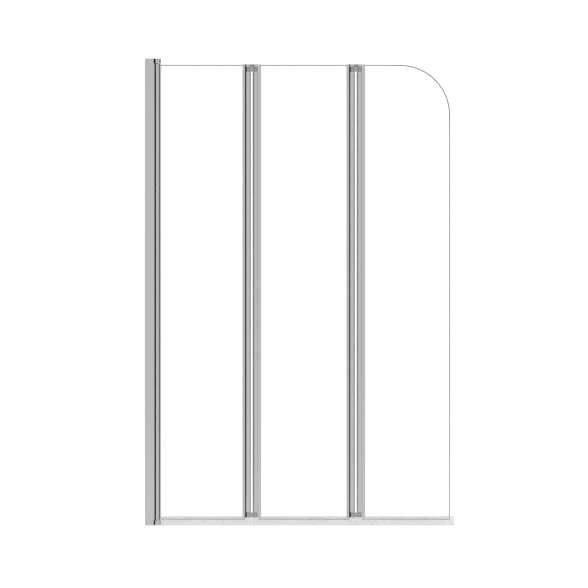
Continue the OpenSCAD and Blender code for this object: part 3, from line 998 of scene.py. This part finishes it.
def cross_recess(z, size=1.9, half=0.42, depth=1.1):
    """The two cutters of a cross recess in a screw's head, whose top is at z"""
    return [
        block_tool((-size, size), (-half, half), (z - depth, z + PAST)),
        block_tool((-half, half), (-size, size), (z - depth, z + PAST)),
    ]


def thread(radius, z0, z1, pitch=0.9, depth=0.28):
    """Profile of a threaded shaft from its point at z0 up to z1"""
    start, root = z0 + 1.0, radius - depth
    turns = int((z1 - start - 0.4) / pitch)
    points = [(0, z0), (radius - 0.9, z0 + 0.2)]
    for k in range(turns):
        low = start + k * pitch
        points += [(root, low), (radius, low + pitch * 0.42), (radius, low + pitch * 0.58)]
    return points + [(root, start + turns * pitch), (root, z1)]


def panhead_screw(name, shaft_r, shaft_l, head_r, head_h):
    """A screw about Z with its head's seat at z = 0"""
    dome = [
        (head_r - 0.1, 0.0), (head_r, 0.15), (head_r, head_h * 0.45), (head_r - 0.25, head_h * 0.72),
        (head_r - 0.8, head_h * 0.92), (head_r - 1.5, head_h), (0, head_h),
    ]
    screw = turned(name, thread(shaft_r, -shaft_l, 0) + dome, 48)
    for tool in cross_recess(head_h):
        cut(screw, [tool])
    return screw


def set_out(name, pattern, count, first, step, slot, turn=(0, 0, 0), loose=(0, 0, 0)):
    """Copies of a pattern on a line, made one plain mesh"""
    pattern.name = name
    return run_tree(pattern, SETTING_OUT, {
        "Count": count, "First": [v * MM for v in first], "Step": [v * MM for v in step],
        "Turn": list(turn), "Loose turn": list(loose), "Seed": 7, "Finish": FINISH[slot],
    })


def make_side_screws():
    step = (0, 0, SIDE_SCREW_Z[1] - SIDE_SCREW_Z[0])
    first = (SIDE_SCREW_X, POST_Y[1], SIDE_SCREW_Z[0])
    screw = laid(panhead_screw("screw", 1.9, 7.0, 3.6, 2.0), (0, 0, 1), (1, 0, 0), (0, 1, 0))
    screws = set_out("post_fixing_screws", screw, 3, first, step, "stainless_steel", loose=(0, math.pi, 0))
    stand_in(screws, "post_side_screws", "stainless_steel")
    inside, top = COVER_R - COVER_WALL, COVER_ROOM + COVER_WALL
    profile = [
        (inside, 0), (COVER_R, 0), *arc(0.7, 0, 90, 4, (COVER_R - 0.7, top - 0.7)),
        (0, top), (0, COVER_ROOM), *arc(0.3, 90, 0, 2, (inside - 0.3, COVER_ROOM - 0.3)),
    ]
    cover = laid(turned("cover", profile), (0, 0, 1), (1, 0, 0), (0, 1, 0))
    covers = set_out("push_fit_screw_covers", cover, 3, first, step, "silver_plastic")
    stand_in(covers, "side_screw_covers", "silver_plastic")


def make_pivot_blocks():
    neck_end = WALL_AXIS - math.sqrt(BLOCK_R**2 - BLOCK_NECK**2)
    for node, at_top in (("bottom_pivot_block", False), ("top_pivot_block", True)):
        outline = softened(block_outline(), 0.5)
        block = drawn(node + "_casting", [outline], 0, BLOCK_H, ZINC, 0.6, tree=ROUNDED)
        shifted(block, (WALL_AXIS, 0, 0))
        cut(block, [drill(PIN_BORE_R, (WALL_AXIS, 0, BLOCK_FLOOR), BLOCK_H)])
        cut(block, [drill(BLOCK_PILOT_R, (WEB_X[0], 0, BLOCK_H / 2), BLOCK_PILOT_L, "x", 32)])
        # the neck's upright faces get the near-black painted shade of the gap beside the post's end
        edge_faces(block, NECK_PAINTED_SHADE, lambda middle: middle.x < neck_end)
        if at_top:
            upended(block, POST_TOP)
        stand_in(block, node, "satin_zinc")
    screw = laid(panhead_screw("screw", 2.0, 9.0, 3.4, 1.8), (0, 0, 1), (0, -1, 0), (1, 0, 0))
    screw.data.transform(Matrix.Rotation(math.pi, 4, "Z"))
    first = (WEB_X[0], 0, BLOCK_H / 2)
    step = (0, 0, POST_TOP - BLOCK_H)
    screws = set_out("block_fixing_screws", screw, 2, first, step, "stainless_steel", loose=(math.pi, 0, 0))
    stand_in(screws, "pivot_block_screws", "stainless_steel")


def make_wall_pins():
    for node, at_top in (("bottom_wall_pin", False), ("top_wall_pin", True)):
        profile = rim(PIN_R, BLOCK_FLOOR, BLOCK_H + GAP + PIN_GRIP)
        pin = shifted(turned(node + "_turned", profile), (WALL_AXIS, 0, 0))
        if at_top:
            upended(pin, POST_TOP)
        stand_in(pin, node, "stainless_steel")


# ---- Pieces that the hinge bar and the joint tubes share ----


def about(x, side, outline):
    """An outline drawn with the glass towards +X, turned to its side and set on its axis"""
    placed = outline if side == "right" else mirrored(outline)
    return [(x + px, py) for px, py in placed]


def make_bushes(node, x, z0, z1):
    """Flanged bushes at both ends of a bore, which runs from z0 to z1"""
    lead = 0.3
    profile = [
        (PIN_BORE_R, lead - FLANGE_T), (PIN_BORE_R + lead, -FLANGE_T),
        (FLANGE_R - lead, -FLANGE_T), (FLANGE_R, lead - FLANGE_T), (FLANGE_R, -0.15), (FLANGE_R - 0.15, 0),
        (BUSH_R, 0), (BUSH_R, BUSH_H - 0.4), (BUSH_R - 0.4, BUSH_H),
        (PIN_BORE_R + lead, BUSH_H), (PIN_BORE_R, BUSH_H - lead),
    ]
    pair = set_out(
        node + "_moulded", turned("bush", profile), 2, (x, 0, z0), (0, 0, z1 - z0), "white_nylon",
        turn=(math.pi, 0, 0),
    )
    stand_in(pair, node, "white_nylon")


def make_rubber(node, x, side, slot, reach):
    z0, z1 = span(node)[2]
    outline = about(x, side, softened(rubber_outline(slot, reach), 0.25))
    rubber = drawn(node + "_extrusion", [outline], z0, z1, FINISH["glazing_rubber"], 0.2)
    stand_in(rubber, node, "glazing_rubber")


def make_beads(node, x, side, outline):
    beads = front_and_back(node + "_extrusion", about(x, side, outline), span(node)[2], 0.2)
    stand_in(beads, node, "black_rubber")


def make_hinge_bar():
    outline = about(WALL_AXIS, "right", softened(carrier_outline(BAR_GROOVE, BAR_SLOT, BAR_REACH), 0.3))
    bore = hole(BORE_R, centre=(WALL_AXIS, 0))
    bar = drawn("hinge_bar_extrusion", [outline, bore], *BAR_Z, ALUMINIUM)
    stand_in(bar, "hinge_bar", "satin_aluminium")
    make_bushes("hinge_bar_bushes", WALL_AXIS, *BAR_Z)
    make_rubber("hinge_bar_gasket", WALL_AXIS, "right", BAR_SLOT, BAR_REACH)
    make_beads("hinge_bar_beads", WALL_AXIS, "right", bar_bead_outline())


# ---- Joints ----

NOSE_Z = (LOW_LINK_Z[1] + GAP + FLANGE_T, TOP_LINK_Z[0] - GAP - FLANGE_T)


def make_tube(stem, x, side):
    """Tube whose nose is cut away above and below, where the links turn"""
    node = stem + "_tube"
    outline = softened(carrier_outline(TUBE_GROOVE, TUBE_SLOT, TUBE_REACH), 0.35)
    outline = about(x, side, outline)
    tube = drawn(node + "_extrusion", [outline, hole(BORE_R, centre=(x, 0))], *TUBE_Z, ALUMINIUM)
    way = -1 if side == "left" else 1
    across = sorted((x + way * TUBE_NOTCH, x - way * CUTTER_HALF))
    depth = (-CUTTER_HALF, CUTTER_HALF)
    cut(tube, [
        block_tool(across, depth, (TUBE_Z[0] - PAST, NOSE_Z[0])),
        block_tool(across, depth, (NOSE_Z[1], TUBE_Z[1] + PAST)),
    ])
    stand_in(tube, node, "satin_aluminium")


def make_cap(stem, x, side):
    node = stem + "_cap"
    outline = about(x, side, softened(cap_outline(), 0.4))
    cap = drawn(node + "_casting", [outline], *CAP_Z, ZINC, 0.7, tree=ROUNDED)
    depth = CAP_Z[1] - CAP_Z[0] - CAP_TOP
    cut(cap, [drill(PIN_BORE_R, (x, 0, CAP_Z[0] - PAST), depth + PAST)])
    stand_in(cap, node, "satin_zinc")


def make_pins(stem, x):
    """Plain upper pin, and a lower pin with its head under the link"""
    node = stem + "_pins"
    z0, z1 = span(node)[2]
    upper = turned("pin", rim(PIN_R, NOSE_Z[1] - PIN_GRIP, z1))
    seat = z0 + PIN_HEAD_H
    tip = NOSE_Z[0] + PIN_GRIP
    lower = turned("pin", [
        (0, z0), *arc(0.4, -90, 0, 3, (PIN_HEAD_R - 0.4, z0 + 0.4)),
        *arc(0.25, 0, 90, 2, (PIN_HEAD_R - 0.25, seat - 0.25)),
        (PIN_R + 0.12, seat), (PIN_R, seat + 0.12),
        *arc(0.4, 0, 90, 3, (PIN_R - 0.4, tip - 0.4)), (0, tip),
    ])
    pins = joined(node + "_turned", [shifted(upper, (x, 0, 0)), shifted(lower, (x, 0, 0))])
    stand_in(pins, node, "stainless_steel")


def make_link(node, x, z, counterbored):
    """Link of two eyes from the left axis at x, with room for the lower pins' heads if asked"""
    outline = softened(link_outline(), 0.8)
    eyes = (0, LINK_PITCH)
    holes = [hole(PIN_BORE_R, 40, (eye, 0)) for eye in eyes]
    # the link's darker zinc is painted shade of its recess
    link = drawn(node + "_casting", [outline, *holes], *z, LINK_ZINC_PAINTED_SHADE, 0.45, tree=ROUNDED)
    shifted(link, (x, 0, 0))
    if counterbored:
        depth = COUNTERBORE_H + PAST
        cut(link, [drill(COUNTERBORE_R, (x + eye, 0, z[0] - PAST), depth) for eye in eyes])
    stand_in(link, node, "satin_zinc", LINK_ZINC_PAINTED_SHADE)


def make_joint(number):
    joint = f"joint_{number}"
    for side in ("left", "right"):
        stem = f"{joint}_{side}"
        x = AXIS[stem + "_pivot"]
        make_tube(stem, x, side)
        make_bushes(stem + "_bushes", x, *NOSE_Z)
        make_pins(stem, x)
        make_cap(stem, x, side)
        make_rubber(stem + "_gasket", x, side, TUBE_SLOT, TUBE_REACH)
    left = AXIS[joint + "_left_pivot"]
    make_beads(joint + "_beads", left, "left", tube_bead_outline())
    make_link(joint + "_top_link", left, TOP_LINK_Z, False)
    make_link(joint + "_bottom_link", left, LOW_LINK_Z, True)


# ---- Glass and seals ----


def make_pane(number):
    node = f"glass_{number}"
    (x0, x1), _, (z0, z1) = span(node)
    corner_r = CORNER_R if number == 3 else 0.0
    outline = pane_outline(x0, x1, z0, z1, corner_r)

    def ground(corner):
        """The share of the grinding at a point of the edge"""
        if not corner_r:
            return 1.0
        beyond = max(x1 - corner_r - corner.x, z1 - corner_r - corner.y, 0.0)
        return 1 + CORNER_WIDER * max(0.0, 1 - beyond / CORNER_RUN)

    pane = drawn(
        f"toughened_pane_{number}", [outline], 0, 2 * GLASS_HALF,
        FINISH["clear_glass"], PENCIL_R, GLASS_EDGE, ROUNDED, ground,
    )
    laid(pane, (1, 0, 0), (0, 0, 1), (0, -1, 0))
    stand_in(shifted(pane, (0, GLASS_HALF, 0)), node, "clear_glass")


def make_seal(number, left_axis, right_axis):
    """Seal along the foot of a pane, lowered under the joints and rounded about their axes"""
    node = f"bottom_seal_{number}"
    (x0, x1), _, (z0, _) = span(node)
    seal = drawn(f"foot_seal_{number}", [seal_outline()], x0, x1, CUT_PVC, 0.15, FINISH["clear_pvc"])
    laid(seal, (0, 1, 0), (0, 0, 1), (1, 0, 0))
    across = (-SEAL_HALF, SEAL_HALF)
    room_z = (TUBE_Z[0] - GAP, GLASS_Z[0] + ABOVE_SEAL)
    for axis, way in ((left_axis, 1), (right_axis, -1)):
        if axis is None:
            continue
        room_x = sorted((axis - way * (CAP_R + PAST), axis + way * (TUBE_REACH + GAP)))
        cut(seal, [block_tool(room_x, across, room_z)])
        waste_x = sorted((axis - way * SEAL_WASTE, axis))
        waste = block_tool(waste_x, across, (z0 - 3, room_z[1] + 3))
        cut(waste, [drill(SEAL_END_R, (axis, 0, z0 - 5), 40, sides=96)])
        cut(seal, [waste])
        edge_faces(
            seal, CUT_PVC,
            lambda middle: abs(math.hypot(middle.x - axis, middle.y) - SEAL_END_R) < ON_ROUND,
        )
    stand_in(seal, node, "clear_pvc")


# ---- The whole screen ----

make_wall_channel()
make_post()
make_top_cover()
make_wipers()
make_side_screws()
make_pivot_blocks()
make_wall_pins()
make_hinge_bar()
make_joint(1)
make_joint(2)
for pane_number in (1, 2, 3):
    make_pane(pane_number)
make_seal(1, None, AXIS["joint_1_left_pivot"])
make_seal(2, AXIS["joint_1_right_pivot"], AXIS["joint_2_left_pivot"])
make_seal(3, AXIS["joint_2_right_pivot"], None)

# ---- Stage, in metres ----

FLOOR_Z = -0.0017
REACH = 14.0            # half width of the floor
CARD_Z = (-4, 6)
BACKDROP = 1.035        # strength of the white all round
EYE = (0.4472, -9.811, 0.6934)


def stage_plane(name, corners, material):
    mesh = bpy.data.meshes.new(name)
    mesh.from_pydata(corners, [], [(0, 1, 2, 3)])
    mesh.materials.append(material)
    plane = on_table(name, mesh)
    return plane


def floor_finish():
    finish = Finish("pale_floor", {
        "Roughness": 0.9, "Specular IOR Level": 0.1,
        "Emission Color": (1.0, 1.0, 1.0, 1.0), "Emission Strength": 0.69,
    })
    mottle = finish.grain((5, 5, 5), 3.0)
    return finish.drive(Base_Color=finish.between(mottle, (0.3, 0.3, 0.3), (0.34, 0.34, 0.34)))


def card_finish(name, tone):
    finish = Finish(name, {"Roughness": 1.0, "Specular IOR Level": 0.0})
    cloth = finish.grain((40, 40, 40), 1.0)
    return finish.drive(Base_Color=finish.between(cloth, (tone,) * 3, (tone * 1.1,) * 3))


def side_card(name, x, y0, y1, tone):
    """A card beside the screen that only its gloss sees"""
    low, high = CARD_Z
    corners = [(x, y0, low), (x, y1, low), (x, y1, high), (x, y0, high)]
    card = stage_plane(name, corners, card_finish(name, tone))
    card.visible_camera = False
    card.visible_diffuse = False
    card.visible_transmission = False
    card.visible_shadow = False
    return card


def soft_light(name, place, size, watts, target):
    lamp = bpy.data.lights.new(name, "AREA")
    lamp.shape = "SQUARE"
    lamp.size = size
    lamp.energy = watts
    light = on_table(name, lamp)
    light.location = place
    light.rotation_euler = (Vector(target) - Vector(place)).to_track_quat("-Z", "Y").to_euler()
    light.visible_camera = False
    return light


stage_plane(
    "floor",
    [(x, y, FLOOR_Z) for x, y in oblong(-REACH, REACH, -REACH, REACH)],
    floor_finish(),
)
side_card("left_card", -0.54, -0.45, 0.5, 0.003)
side_card("right_card", 7.0, -1.6, 3.2, 0.03)
soft_light("overhead", (0.45, -1.2, 3.6), 3.0, 40.0, (0.45, 0, 0.3))

world = bpy.data.worlds.new("studio")
world.use_nodes = True
backdrop = world.node_tree.nodes["Background"]
backdrop.inputs["Color"].default_value = (1.0, 1.0, 1.0, 1.0)
backdrop.inputs["Strength"].default_value = BACKDROP
bpy.context.scene.world = world
bpy.context.scene.view_settings.view_transform = "Standard"

lens = bpy.data.cameras.new("camera")
lens.lens = 200.0
lens.sensor_width = 36.0
lens.clip_end = 60.0
camera = on_table("camera", lens)
camera.location = EYE
camera.rotation_euler = (math.pi / 2, 0, 0)
bpy.context.scene.camera = camera
